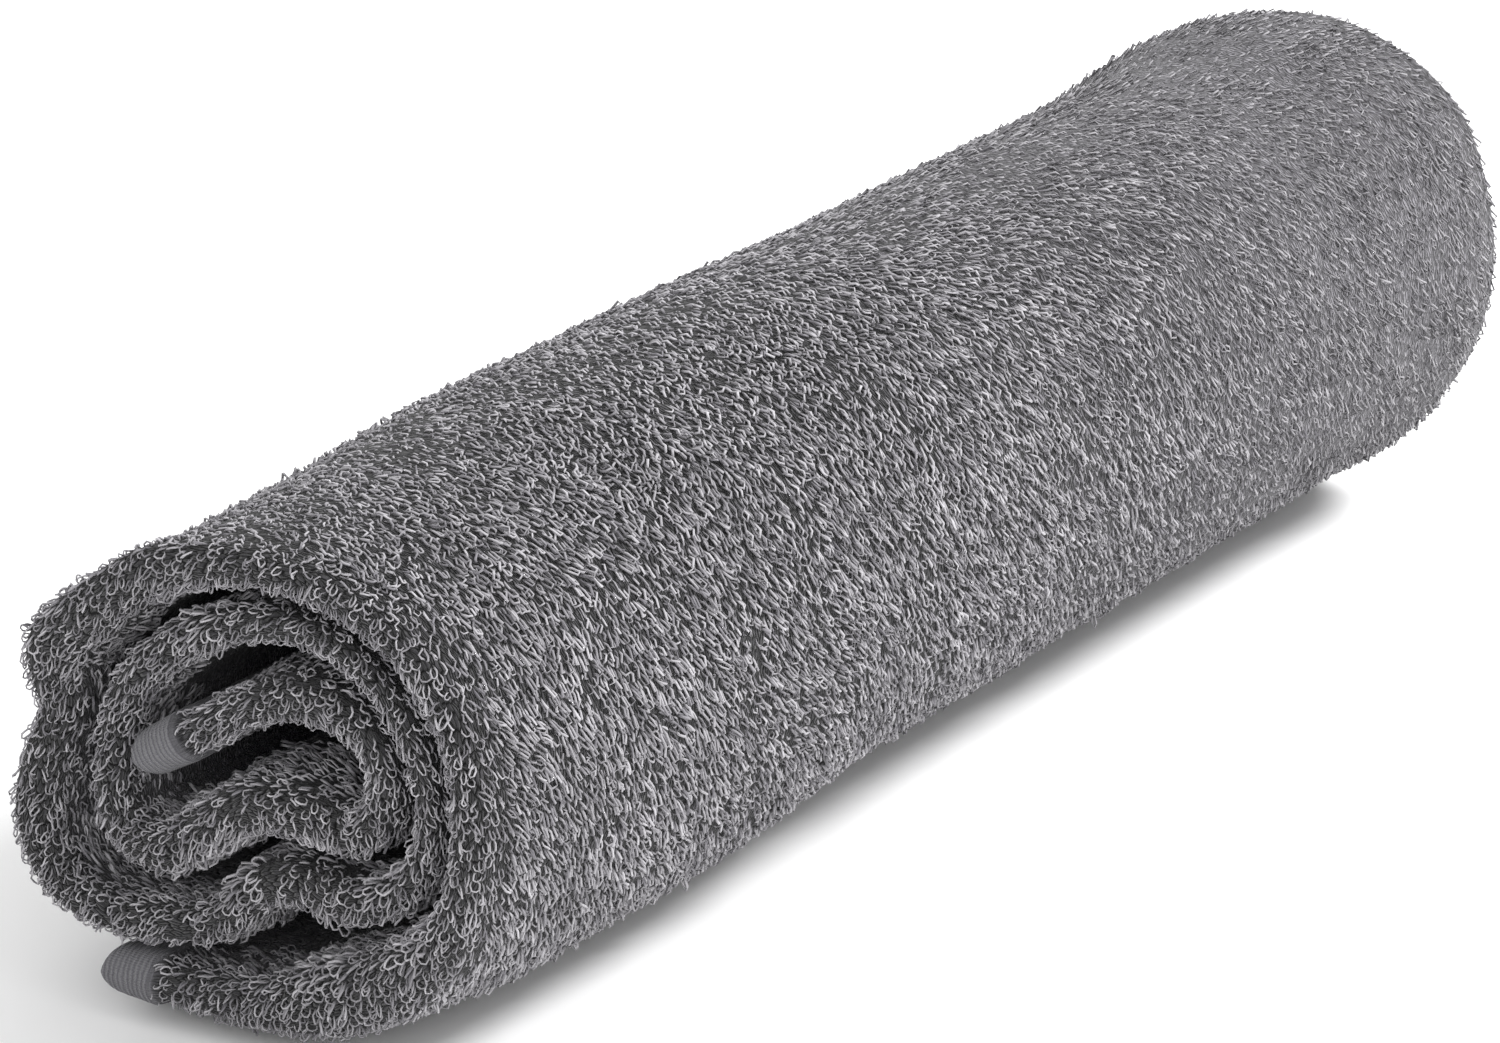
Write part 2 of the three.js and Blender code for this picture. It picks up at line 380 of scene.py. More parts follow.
cloth, clothPoints, clothFaces = makeGroundCloth()
clothTree = BVHTree.FromPolygons([tuple(p) for p in clothPoints], clothFaces)
print("ground cloth:", len(cloth.data.polygons), "faces")


# Roots of the loops: where each stands on the cloth, and which way it leans

pile = {
    "seed": 11,
    "jitter": 0.36,  # share of the spacing by which a root strays from its row
    "frontSpacing": (1.56, 1.43),  # in mm along the cloth, and round the section
    "frontTo": 45,  # how far along the roll that spacing goes
    "farFrontSpacing": (1.79, 1.64),
    "backSpacing": (2.4, 2.25),
    "endSpacing": (1.74, 1.64),
    "farSpacing": (2.15, 2.1),
    "frontAngles": (52, 240),  # the side with the closest loops, about the axis from +Y over the top
    "endZone": 11,  # how far the loops of an end reach from the fold's middle
    "ridgeZone": 6,  # nearer to it than this, one clear way out is enough for a loop to stand
    "ridgeWidth": 9,  # up to here the open end has the finest kind of loop
    "gapDepth": 26,  # how deep loops are looked for between the turns
    "faceTilt": 69,  # degrees by which a loop leans from upright on the faces
    "foldTilt": 60,
    "farFoldTilt": 19,  # added at the far fold
    "unevenTilt": 14,
    "outlineTilt": 9,  # more lean along the top, where the roll's outline is smooth
    "asideAngles": (95, 108, 118, 130, 150, 165, 180, 200),  # about the axis, from the top down the front
    # Share of the lean that points towards +X, at those angles, on the near and on the far half
    "nearAside": (-0.35, -0.55, -0.5, -0.35, 0.05, 0.35, 0.55, 0.4),
    "farAside": (1.2, 0.9, 0.45, 0.2, 0.2, 0.3, 0.55, 0.45),
    "asideChange": (-60, 60),  # where along the roll the one gives way to the other
    "foldLeanZone": (3, 12),  # distance from a fold's middle over which its own lean ends
    "innerLean": 0.35,  # how far loops between the turns lean down the cloth
    "topAngles": (35, 55, 90, 118),  # where the upper outline begins and ends
    "topShorter": 0.06,
    "farShorter": 0.2,  # how much shorter the pile is towards the far end
    "farShorterOver": (20, 150),
    "farFoldFrom": 172,  # past this it is as long as elsewhere
    "hemShorter": 0.4,
    "bushyLonger": 0.28,
    "bushyTilt": 10,
    "bushyTo": (-174, -160),
    "swirl": 22.4,  # degrees by which the lean wanders
    "swirlSize": 30,
    "tuft": 22.4,
    "tuftSize": 7,
    "clumpEvery": 8,
    "clumpPull": 0.1,
    "strayTurn": 9,  # degrees by which single loops turn from their neighbours' lean
    "strayFoldTurn": 17,  # as much again, on the folds
    "strayTilt": 6,
    "unevenLength": 0.12,
    "unevenSize": 9,
    "sizeSpread": 0.16,
    "hemCover": 14,  # how far on both sides of the outer hem a face is looked at for being covered
    "probeHeight": 1.2,  # height over the cloth from which it is asked whether a loop can be seen
    "probeReach": 120,
    "hemProbeReach": 60,
    "hemProbe": (0, 1.2, -0.2),  # added to the face's normal, it points the way out past the hem
    "rootDepth": 0.35,  # how deep the feet lie in the weave
    "loopLength": 3.0,
    "tipClear": 1.0,  # no tip points lower than this over the surface that the roll lies on
    "pressedFlat": 0.02,  # and no loop passes below this
}
# Spots at the open end where the loops part and the weave shows: across, up, radius
baldSpots = [(14.5, 20.3, 2.4), (0.5, 47.5, 2.0), (-5, 35.2, 2.2)]
baldTo = -172  # where they end along the roll
# Spots there where long loops fill the gap between two turns: across, up, radius
bushySpots = [(4, 37, 10), (-14, 23, 9), (-33, 30, 7), (13, 81, 9), (-27, 41, 6)]
random = np.random.default_rng(pile["seed"])


def rootGrid(span, band, spacing):  # rows of roots over a stretch of cloth, every other row set on by a half
    rows = np.arange(span[0], span[1], spacing[0])
    s, v = [], []
    for k, row in enumerate(rows):
        places = np.arange(band[0] + (k % 2) * spacing[1] / 2, band[1], spacing[1])
        s.append(np.full(len(places), row))
        v.append(places)
    s, v = np.concatenate(s), np.concatenate(v)
    s = s + random.uniform(-1, 1, len(s)) * pile["jitter"] * spacing[0]
    v = v + random.uniform(-1, 1, len(v)) * pile["jitter"] * spacing[1]
    return s, v


def farther(s, v):  # distance round the section from the far fold's middle, signed as v is
    flat, quarter = lengths(s, wound["foldPileDepth"])
    return (flat + 2 * quarter - np.abs(v)) * np.sign(v)


def endDistance(s, v):
    return np.minimum(np.abs(v), np.abs(farther(s, v)))


probeWays = ((0, 1), (28, 5), (52, 7))  # degrees from straight out of the roll's end, and how many ways there


def seen(points, normals, end):  # in how many ways a loop's tip has a clear way out of the roll's end
    ways = []
    for tilt, count in probeWays:
        for k in range(count):
            turn = 2 * math.pi * (k + 0.5) / count
            side = math.sin(math.radians(tilt))
            ways.append((math.cos(math.radians(tilt)), side * math.cos(turn), side * math.sin(turn)))
    found = np.zeros(len(points), int)
    for i, (point, normal) in enumerate(zip(points, normals)):
        start = Vector(point + normal * pile["probeHeight"])
        for x, y, z in ways:
            if clothTree.ray_cast(start, Vector((end * x, y, z)), pile["probeReach"])[0] is None:
                found[i] += 1
    return found


def rootsOf(span, band, spacing, end=0):
    s, v = rootGrid(span, band, spacing)
    if end > 0:
        flat, quarter = lengths(s, wound["foldPileDepth"])
        v = np.where(v < 0, -(flat + 2 * quarter) - v, flat + 2 * quarter - v)
    keep = random.uniform(0, 1, len(s)) > flatWoven(s)
    s, v = s[keep], v[keep]
    point, normal, along, around = skinFrame(s, v, pileDepth(s, v))
    return {"s": s, "v": v, "point": point, "normal": normal, "along": along, "around": around}


def only(roots, keep):
    return {name: values[keep] for name, values in roots.items()}


def aboutAxis(roots):
    rise = roots["point"][:, 2] - wound["axisHeight"]
    return np.degrees(np.arctan2(rise, roots["point"][:, 1] - wound["axisAcross"])) % 360


def makeRoots():
    parts = {}
    whole = rollLength + 30
    for name in ("front", "farFront", "back"):  # the outer face, finer on the front than behind
        roots = rootsOf((hemStart, coveredAt + pile["hemCover"]), (0, whole), pile[name + "Spacing"])
        angle = aboutAxis(roots)
        front = (angle > pile["frontAngles"][0]) & (angle < pile["frontAngles"][1])
        past = farther(roots["s"], roots["v"]) > pile["endZone"]
        onFace = (roots["v"] > pile["endZone"]) & past
        lying = (roots["point"][:, 2] < 1.0) & (roots["normal"][:, 2] < -0.9)
        nearer = roots["point"][:, 0] < pile["frontTo"]
        side = {"front": front & nearer, "farFront": front & ~nearer, "back": ~front}[name]
        roots = only(roots, side & onFace & ~lying)
        near = roots["s"] > coveredAt - pile["hemCover"]  # here the outer hem may cover the face
        tips = roots["point"] + roots["normal"] * pile["probeHeight"]
        shown = np.ones(len(near), bool)
        for i in np.flatnonzero(near):
            way = Vector(roots["normal"][i] + np.array(pile["hemProbe"])).normalized()
            shown[i] = clothTree.ray_cast(Vector(tips[i]), way, pile["hemProbeReach"])[0] is None
        parts[name] = only(roots, shown)
    for name, end, spacing in (("near", -1, "endSpacing"), ("far", 1, "farSpacing")):
        roots = rootsOf((hemStart, hemEnd), (-pile["gapDepth"], pile["gapDepth"]), pile[spacing], end)
        outside = (roots["s"] < coveredAt - pile["hemCover"]) & (roots["v"] > 0)
        kept = (endDistance(roots["s"], roots["v"]) <= pile["endZone"]) | ~outside
        roots = only(roots, kept)
        count = seen(roots["point"], roots["normal"], end)
        fromFold = endDistance(roots["s"], roots["v"])
        enough = np.where(fromFold < pile["ridgeZone"], 1, np.where(outside[kept], 3, 4))
        roots = only(roots, count >= enough + (end > 0))
        for across, up, radius in baldSpots if end < 0 else ():
            y, z = roots["point"][:, 1] - across, roots["point"][:, 2] - up
            roots = only(roots, (np.hypot(y, z) > radius) | (roots["point"][:, 0] > baldTo))
        parts[name] = roots
    return parts


def bushy(roots):  # 1 in the middle of a spot with long loops, 0 away from them
    across, up = roots["point"][:, 1] - wound["axisAcross"], roots["point"][:, 2]
    found = np.zeros(len(up))
    for y, z, radius in bushySpots:
        found = np.maximum(found, 1 - smoothStep(np.hypot(across - y, up - z), 0.5 * radius, radius))
    return found * (1 - smoothStep(roots["point"][:, 0], *pile["bushyTo"]))


def nearTop(roots):  # 1 along the roll's upper outline, 0 well away from it
    angle = aboutAxis(roots)
    back, backTop, frontTop, front = pile["topAngles"]
    return smoothStep(angle, back, backTop) * (1 - smoothStep(angle, frontTop, front))


def inSurface(ways, normals):  # each direction without its share along the normal
    return ways - normals * (ways * normals).sum(1)[:, None]


def leanOf(roots, size):  # each loop's direction and the way that its open face looks
    s, v, point, normal = (roots[name] for name in ("s", "v", "point", "normal"))
    count = len(s)
    down = -roots["along"]
    axis = unit(inSurface(np.tile([1.0, 0, 0], (count, 1)), normal))
    onFold = 1 - smoothStep(endDistance(s, v), *pile["foldLeanZone"])
    outer = (v > 0) & (s < coveredAt + pile["hemCover"])
    angle = aboutAxis(roots)
    nearAside, farAside = (
        np.interp(angle, pile["asideAngles"], pile[side + "Aside"]) for side in ("near", "far")
    )
    aside = nearAside + (farAside - nearAside) * smoothStep(point[:, 0], *pile["asideChange"])
    lean = np.where(outer[:, None], down + aside[:, None] * axis, pile["innerLean"] * down)
    outward = point - np.array([0, wound["axisAcross"], wound["axisHeight"]])
    outward[:, 0] = 0
    droop = unit(outward) * 0.3 + np.array([0, 0, -1.0])
    droop[:, 0] = 0.3 * np.sign(point[:, 0])
    lean = unit(inSurface(lean * (1 - onFold)[:, None] + droop * onFold[:, None], normal))
    turn = pile["swirl"] * softNoise(point, pile["swirlSize"], 2)
    stray = random.normal(0, pile["strayTurn"], count)
    turn += pile["tuft"] * softNoise(point, pile["tuftSize"], 3) + stray
    turn = np.radians(turn + pile["strayFoldTurn"] * onFold * random.normal(0, 1, count))[:, None]
    lean = lean * np.cos(turn) + np.cross(normal, lean) * np.sin(turn)
    foldTilt = pile["foldTilt"] + pile["farFoldTilt"] * (point[:, 0] > 0)
    tilt = pile["faceTilt"] * (1 - onFold) + foldTilt * onFold
    outline = nearTop(roots) * (1 - onFold)
    tilt += pile["outlineTilt"] * outline - pile["bushyTilt"] * bushy(roots)
    stray = random.normal(0, pile["strayTilt"], count)
    uneven = pile["unevenTilt"] * softNoise(point, pile["unevenSize"], 4) + stray
    uneven *= 1 - 0.6 * outline
    tilt = np.radians(np.clip(tilt + uneven, 8, 82))
    way = normal * np.cos(tilt)[:, None] + lean * np.sin(tilt)[:, None]
    centres = kdtree.KDTree((count + pile["clumpEvery"] - 1) // pile["clumpEvery"])
    order = random.permutation(count)[:: pile["clumpEvery"]]
    for k, i in enumerate(order):
        centres.insert(Vector(point[i]), k)
    centres.balance()
    pull = np.array([centres.find(Vector(p))[0] for p in point]) - point
    way = unit(way + inSurface(pull, normal) * pile["clumpPull"] / pile["loopLength"])
    reach = pile["loopLength"] * size
    lowest = pile["tipClear"] - point[:, 2]
    way[:, 2] = np.maximum(way[:, 2], np.clip(lowest / reach, -1, 0.6))
    way = unit(way)
    return way, unit(inSurface(normal, way) + 0.02 * lean)


pileRoots = makeRoots()
print("roots:", {name: len(roots["s"]) for name, roots in pileRoots.items()})


# Yarn loops

loopForms = {  # width, height, twist in radians from root to tip, and how far the tip curls over
    "open": (1.5, 2.7, 0.25, 0.25),
    "narrow": (1.0, 3.2, 0.9, 0.3),
    "crossed": (1.15, 2.9, 2.4, 0.15),
    "wide": (1.75, 2.5, -0.6, 0.4),
    "turned": (1.25, 3.0, -1.6, 0.3),
    "curled": (1.4, 2.4, 2.9, 0.6),
    "long": (1.1, 3.6, 0.7, 0.3),
}
loopKinds = {  # how far round each loop its rings of yarn stand, its width to the forms above, the yarn in mm
    "end": ((0, 0.26, 0.39, 0.5, 0.61, 0.74, 1), 1.35, 0.42),
    "fine": ((0, 0.25, 0.41, 0.59, 0.75, 1), 1.0, 0.46),
    "plain": ((0, 0.33, 0.5, 0.67, 1), 1.0, 0.48),
    "far": ((0, 0.36, 0.64, 1), 1.35, 0.48),
}


def loopMesh(name, steps, yarnWidth, width, height, twist, curl):
    t = np.array(steps)
    rise = (1 - np.cos(2 * math.pi * t)) / 2
    aside = width / 2 * np.sin(2 * math.pi * t) * (0.35 + 0.75 * rise) + 0.1 * width * np.cos(math.pi * t)
    angle = twist * rise
    over = aside * np.sin(angle) - curl * height * rise**2 * 0.5
    line = np.column_stack([aside * np.cos(angle), over, rise * height])
    tangent = unit(np.gradient(line, axis=0))
    sideways = unit(np.cross(tangent, np.array([0.15, 1, 0.1])))
    across = np.cross(tangent, sideways)
    points = []
    for k in range(len(t)):
        for j in range(3):
            turn = 2 * math.pi * j / 3 + 0.5
            rim = sideways[k] * math.cos(turn) + across[k] * math.sin(turn)
            points.append(line[k] + yarnWidth / 2 * rim)
    faces = [(2, 1, 0), tuple(3 * len(t) - 3 + j for j in range(3))]
    for k in range(len(t) - 1):
        for j in range(3):
            a, b = 3 * k + j, 3 * k + (j + 1) % 3
            faces.append((a, b, b + 3, a + 3))
    mesh = bpy.data.meshes.new(name)
    mesh.from_pydata((np.array(points) * mm).tolist(), [], faces)
    run = np.append(0, np.cumsum(np.linalg.norm(np.diff(line, axis=0), axis=1)))
    uv = mesh.uv_layers.new(name="yarn")
    for polygon in mesh.polygons:
        for corner in polygon.loop_indices:
            vertex = mesh.loops[corner].vertex_index
            side = vertex % 3
            if side == 0 and polygon.index > 1 and (polygon.index - 2) % 3 == 2:
                side = 3
            uv.data[corner].uv = (side / 3, run[vertex // 3] * mm)
    storeValues(mesh, "rootToTip", np.repeat(rise, 3))
    return mesh


def makeForms(kind):
    forms = bpy.data.collections.new("loops " + kind)
    steps, wider, yarnWidth = loopKinds[kind]
    for name, (width, *rest) in loopForms.items():
        mesh = loopMesh(name, steps, yarnWidth, width * wider, *rest)
        forms.objects.link(bpy.data.objects.new(f"{kind} {name}", mesh))
    return forms


def makePileTree():
    tree = bpy.data.node_groups.new("terry pile", "GeometryNodeTree")
    inputs = {
        "Geometry": "Geometry", "Loop Forms": "Collection", "Last Form": "Int", "Size Spread": "Float",
        "Roll Spread": "Float", "Seed": "Int", "Yarn": "Material",
    }
    for name, kind in inputs.items():
        tree.interface.new_socket(name, in_out="INPUT", socket_type="NodeSocket" + kind)
    tree.interface.new_socket("Geometry", in_out="OUTPUT", socket_type="NodeSocketGeometry")
    given = addNode(tree, "NodeGroupInput").outputs
    seeds = []
    for k in range(4):
        more = addNode(tree, "ShaderNodeMath", {"operation": "ADD"}, {0: given["Seed"], 1: float(k)})
        seeds.append(more.outputs[0])
    tipWay, faceWay, loopSize = (
        addNode(tree, "GeometryNodeInputNamedAttribute", {"data_type": kind}, {"Name": name}).outputs[0]
        for name, kind in (("tipWay", "FLOAT_VECTOR"), ("faceWay", "FLOAT_VECTOR"), ("loopSize", "FLOAT"))
    )
    upright = addNode(
        tree, "FunctionNodeAxesToRotation", {"primary_axis": "Z", "secondary_axis": "Y"},
        {"Primary Axis": tipWay, "Secondary Axis": faceWay},
    )
    least = addNode(tree, "ShaderNodeMath", {"operation": "MULTIPLY"}, {0: given["Roll Spread"], 1: -1.0})
    roll = addNode(
        tree, "FunctionNodeRandomValue", {"data_type": "FLOAT"},
        {2: least.outputs[0], 3: given["Roll Spread"], "Seed": seeds[0]},
    )
    aboutTip = addNode(tree, "ShaderNodeCombineXYZ", None, {"Z": roll.outputs[1]})
    spin = addNode(tree, "FunctionNodeEulerToRotation", None, {0: aboutTip.outputs[0]})
    turned = addNode(
        tree, "FunctionNodeRotateRotation", {"rotation_space": "LOCAL"},
        {"Rotation": upright.outputs[0], "Rotate By": spin.outputs[0]},
    )
    smaller = addNode(tree, "ShaderNodeMath", {"operation": "SUBTRACT"}, {0: 1.0, 1: given["Size Spread"]})
    larger = addNode(tree, "ShaderNodeMath", {"operation": "ADD"}, {0: 1.0, 1: given["Size Spread"]})
    spread = addNode(
        tree, "FunctionNodeRandomValue", {"data_type": "FLOAT"},
        {2: smaller.outputs[0], 3: larger.outputs[0], "Seed": seeds[1]},
    )
    size = addNode(tree, "ShaderNodeMath", {"operation": "MULTIPLY"}, {0: loopSize, 1: spread.outputs[1]})
    pick = addNode(
        tree, "FunctionNodeRandomValue", {"data_type": "INT"},
        {4: 0, 5: given["Last Form"], "Seed": seeds[2]},
    )
    forms = addNode(
        tree, "GeometryNodeCollectionInfo", {"transform_space": "ORIGINAL"},
        {"Collection": given["Loop Forms"], "Separate Children": True, "Reset Children": True},
    )
    loops = addNode(
        tree, "GeometryNodeInstanceOnPoints", None,
        {
            "Points": given["Geometry"], "Instance": forms.outputs[0], "Pick Instance": True,
            "Instance Index": pick.outputs[2], "Rotation": turned.outputs[0], "Scale": size.outputs[0],
        },
    )
    tone = addNode(
        tree, "FunctionNodeRandomValue", {"data_type": "FLOAT"}, {2: 0.0, 3: 1.0, "Seed": seeds[3]},
    )
    toned = addNode(
        tree, "GeometryNodeStoreNamedAttribute", {"data_type": "FLOAT", "domain": "INSTANCE"},
        {"Geometry": loops.outputs[0], "Name": "loopTone", "Value": tone.outputs[1]},
    )
    real = addNode(tree, "GeometryNodeRealizeInstances", None, {0: toned.outputs[0]})
    smooth = addNode(tree, "GeometryNodeSetShadeSmooth", None, {0: real.outputs[0]})
    dressed = addNode(
        tree, "GeometryNodeSetMaterial", None, {"Geometry": smooth.outputs[0], "Material": given["Yarn"]},
    )
    addNode(tree, "NodeGroupOutput", None, {0: dressed.outputs[0]})
    return tree


def rootMesh(name, roots, size):
    way, facing = leanOf(roots, size)
    buried = roots["point"] - roots["normal"] * pile["rootDepth"] - way * 0.1
    mesh = bpy.data.meshes.new(name)
    mesh.from_pydata((buried * mm).tolist(), [], [])
    storeValues(mesh, "tipWay", way)
    storeValues(mesh, "faceWay", facing)
    storeValues(mesh, "loopSize", size)
    storeValues(mesh, "shadeEasing", paintedShadeEasing(roots["point"]))
    return mesh


def growLoops(name, roots, forms, size, rollSpread, seed):
    x = roots["point"][:, 0]
    uneven = 1 + pile["unevenLength"] * softNoise(roots["point"], pile["unevenSize"], 5)
    sizes = size * uneven * (1 - pile["topShorter"] * nearTop(roots))
    sizes *= (1 + pile["bushyLonger"] * bushy(roots)) * (1 - pile["hemShorter"] * flatWoven(roots["s"]))
    sizes *= 1 - pile["farShorter"] * smoothStep(x, *pile["farShorterOver"]) * (x < pile["farFoldFrom"])
    piece = newPiece(name, rootMesh(name + " roots", roots, sizes))
    grow = piece.modifiers.new("terry pile", "NODES")
    grow.node_group = pileTree
    values = {
        "Loop Forms": forms, "Last Form": len(loopForms) - 1, "Size Spread": pile["sizeSpread"],
        "Roll Spread": rollSpread, "Seed": seed, "Yarn": yarn,
    }
    for item in pileTree.interface.items_tree:
        if item.in_out == "INPUT" and item.name in values:
            grow[item.identifier] = values[item.name]
    graph = bpy.context.evaluated_depsgraph_get()
    grown = bpy.data.meshes.new_from_object(piece.evaluated_get(graph), depsgraph=graph)
    grown.name = name
    places = np.empty(len(grown.vertices) * 3)
    grown.vertices.foreach_get("co", places)
    places[2::3] = np.maximum(places[2::3], pile["pressedFlat"] * mm)
    grown.vertices.foreach_set("co", places)
    piece.modifiers.remove(grow)
    rootsOnly = piece.data
    piece.data = grown
    bpy.data.meshes.remove(rootsOnly)
    return piece


# Materials

yarnLook = {
    "darkLoop": "#77757a",  # the tone differs from loop to loop
    "middleLoop": "#939195",
    "lightLoop": "#b2b0b4",
    "mottleSize": 14,  # patches of slightly uneven dye, in mm
    "plyTurn": 0.9,  # length of yarn, in mm, for one turn of its plies
    # Painted shade along each loop: dark at the root, the tip a little lighter where the shade is full and
    # darker where it is eased
    "rootShade": (0.05, 0.45),  # brightness at the root, where the painted shade is full and where it is eased
    "tipShade": (1.09, 0.86),
    "shadedRise": 0.45,  # share of the loop's height over which the painted root shade fades out
}


def makeYarn():  # dyed cotton pile yarn: soft fibres, no shine but a pale bloom where the light grazes them
    material = bpy.data.materials.new("dyed cotton pile yarn")
    material.use_nodes = True
    tree = material.node_tree
    tree.nodes.clear()
    tone = addNode(tree, "ShaderNodeAttribute", {"attribute_name": "loopTone"})
    ramp = addNode(tree, "ShaderNodeValToRGB", None, {"Fac": tone.outputs["Fac"]})
    stops = ramp.color_ramp.elements
    stops[0].color, stops[1].color = (hexColor(yarnLook[k]) for k in ("darkLoop", "lightLoop"))
    stops.new(0.5).color = hexColor(yarnLook["middleLoop"])
    place = addNode(tree, "ShaderNodeTexCoord")
    mottle = addNode(
        tree, "ShaderNodeTexNoise", None,
        {"Vector": place.outputs["Object"], "Scale": 1 / (yarnLook["mottleSize"] * mm), "Detail": 3.0},
    )
    rise = addNode(tree, "ShaderNodeAttribute", {"attribute_name": "rootToTip"})
    shadeEasing = addNode(tree, "ShaderNodeAttribute", {"attribute_name": "shadeEasing"})
    rootShade, tipShade = (
        addNode(
            tree, "ShaderNodeMapRange", None,
            {"Value": shadeEasing.outputs["Fac"], "To Min": yarnLook[k][0], "To Max": yarnLook[k][1]},
        )
        for k in ("rootShade", "tipShade")
    )
    # Painted shade: the loop's colour darkens from its tip down to its root
    depth = addNode(
        tree, "ShaderNodeMapRange", {"interpolation_type": "SMOOTHSTEP"},
        {
            "Value": rise.outputs["Fac"], "From Max": yarnLook["shadedRise"],
            "To Min": rootShade.outputs[0], "To Max": tipShade.outputs[0],
        },
    )
    wash = addNode(
        tree, "ShaderNodeMapRange", None,
        {"Value": mottle.outputs[0], "From Min": 0.3, "From Max": 0.7, "To Min": 0.9, "To Max": 1.08},
    )
    shade = addNode(
        tree, "ShaderNodeMath", {"operation": "MULTIPLY"}, {0: depth.outputs[0], 1: wash.outputs[0]},
    )
    colour = addNode(
        tree, "ShaderNodeMix", {"data_type": "RGBA", "blend_type": "MULTIPLY"},
        {0: 1.0, 6: ramp.outputs["Color"], 7: shade.outputs[0]},
    )
    yarnPlace = addNode(tree, "ShaderNodeUVMap", {"uv_map": "yarn"})
    plyScale = addNode(
        tree, "ShaderNodeMapping", None,
        {"Vector": yarnPlace.outputs[0], "Scale": (2.0, 1 / (yarnLook["plyTurn"] * mm), 1.0)},  # two plies
    )
    ply = addNode(
        tree, "ShaderNodeTexWave", {"wave_type": "BANDS", "bands_direction": "DIAGONAL"},
        {"Vector": plyScale.outputs[0], "Scale": 0.32, "Distortion": 0.6},
    )
    bump = addNode(
        tree, "ShaderNodeBump", None,
        {"Height": ply.outputs["Fac"], "Strength": 0.5, "Distance": 0.12 * mm},
    )
    cotton = addNode(
        tree, "ShaderNodeBsdfPrincipled", None,
        {
            "Base Color": colour.outputs[2], "Normal": bump.outputs[0], "Roughness": 0.95,
            "Specular IOR Level": 0.15, "Sheen Weight": 0.25, "Sheen Roughness": 0.45,
        },
    )
    addNode(tree, "ShaderNodeOutputMaterial", None, {"Surface": cotton.outputs[0]})
    return material


weaveLook = {
    "deepShadeColor": "#3c3b3e",  # painted shade: the weave's colour between loops, where the shade is full
    "easedShadeColor": "#817f84",  # painted shade: between loops, where the shade is eased
    "hemColor": "#77767b",
    "warpPitch": 0.5,  # in mm, as are the next three
    "strand": (0.6, 2.1),  # width and length of the short fibres on the weave
    "wanderSize": 6,  # how their rows wander: over what distance, and by how much
    "wanderBy": 3,
    "deepShade": (0.04, 0.48),  # painted shade between the strands: brightness where it is full and where it is eased
    # painted shade in the low parts of the hems' weave
    "hemShade": 0.68,
    "relief": 0.7,  # in mm
    "oneBand": 0.314,  # scale at which a wave texture's bands are one unit apart
}


